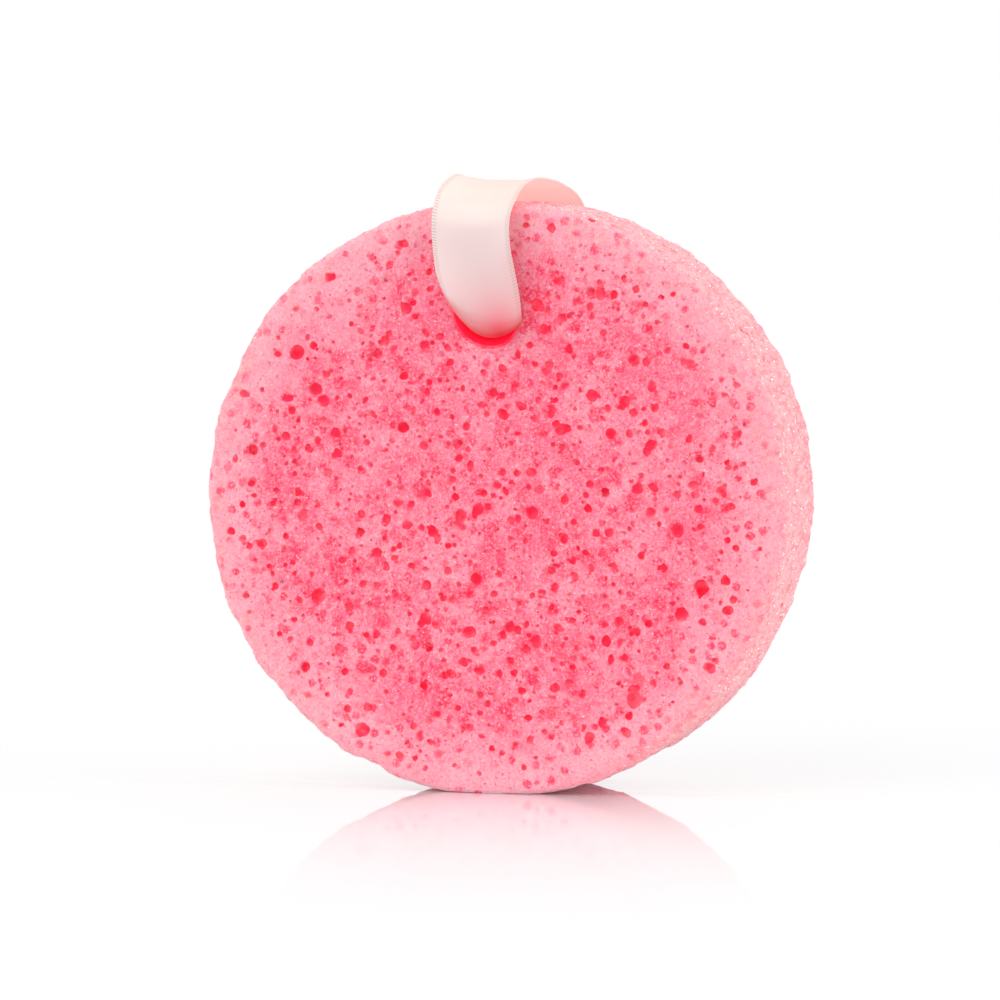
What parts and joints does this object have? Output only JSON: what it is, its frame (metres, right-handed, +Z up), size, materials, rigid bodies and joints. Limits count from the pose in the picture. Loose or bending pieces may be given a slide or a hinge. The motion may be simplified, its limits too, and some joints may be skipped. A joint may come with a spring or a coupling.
{
  "type": "konjac sponge",
  "caption": "Thick round konjac fibre sponge for washing the face and body, with a satin ribbon loop through a hole near its rim to hang it up by.",
  "frame": {"origin": "middle of the small flat foot where the sponge's rim touches the surface that it stands on", "axes": "+Y runs from the front face to the back face along the disc's axis, +Z up from the foot through the hole to the ribbon's arch, +X to the right seen from the front"},
  "size_m": [0.09, 0.0346, 0.0935],
  "materials": {
    "konjac_foam": "matt, open pored, slightly translucent",
    "satin_ribbon": "satin",
    "sewing_thread": "twisted, soft sheen"
  },
  "bodies": {
    "sponge": {"sponge_disc": "konjac_foam"},
    "ribbon_loop": {"ribbon": "satin_ribbon", "seam_thread": "sewing_thread"}
  },
  "joints": [
    {"name": "ribbon_swing", "type": "hinge", "parent": "sponge", "child": "ribbon_loop", "pos_m": [0, 0, 0.0733], "axis": [0, 1, 0], "range_deg": [-20, 20]}
  ]
}
